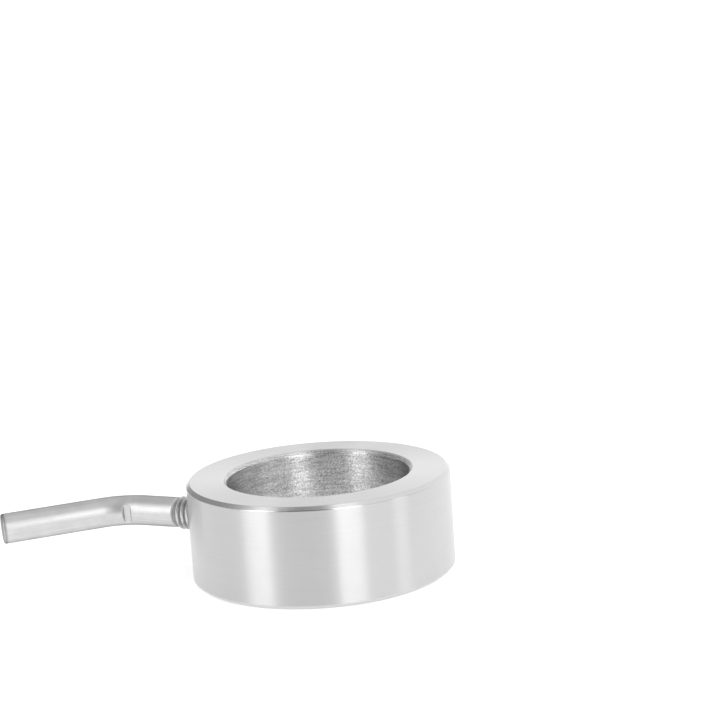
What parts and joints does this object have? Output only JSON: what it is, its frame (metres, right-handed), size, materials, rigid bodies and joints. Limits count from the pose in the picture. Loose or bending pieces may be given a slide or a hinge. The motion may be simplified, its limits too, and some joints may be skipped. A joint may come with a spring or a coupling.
{
  "type": "ring collar with bent locking screw",
  "caption": "Solid steel ring with chamfered edges that slides over a round bar sleeve; a radial screw with a bent round rod as its handle turns inward to clamp the bar.",
  "frame": {"origin": "middle of the bar hole, where the hole's axis and the screw's axis cross", "axes": "+Z along the bar hole's axis, up; the screw points outward along -X and its handle bends toward -Y"},
  "size_m": [0.1305, 0.0734, 0.028],
  "materials": {
    "ring_steel": "bright plated, finely ground",
    "screw_steel": "satin zinc or nickel plate"
  },
  "bodies": {
    "ring": {"collar_ring": "ring_steel"},
    "point": {"screw_point": "screw_steel"},
    "screw": {"locking_screw": "screw_steel"}
  },
  "joints": [
    {"name": "screw_advance", "type": "slide", "parent": "ring", "child": "point", "axis": [-1, 0, 0], "range_m": [-0.008, 0.0072]},
    {"name": "screw_turn", "type": "hinge", "parent": "point", "child": "screw", "pos_m": [-0.03675, 0, 0], "axis": [-1, 0, 0], "range_deg": [-1800, 1620]}
  ],
  "couplings": [
    {"joint": "screw_advance", "follows": "screw_turn", "m_per_rad": 0.00025266}
  ]
}
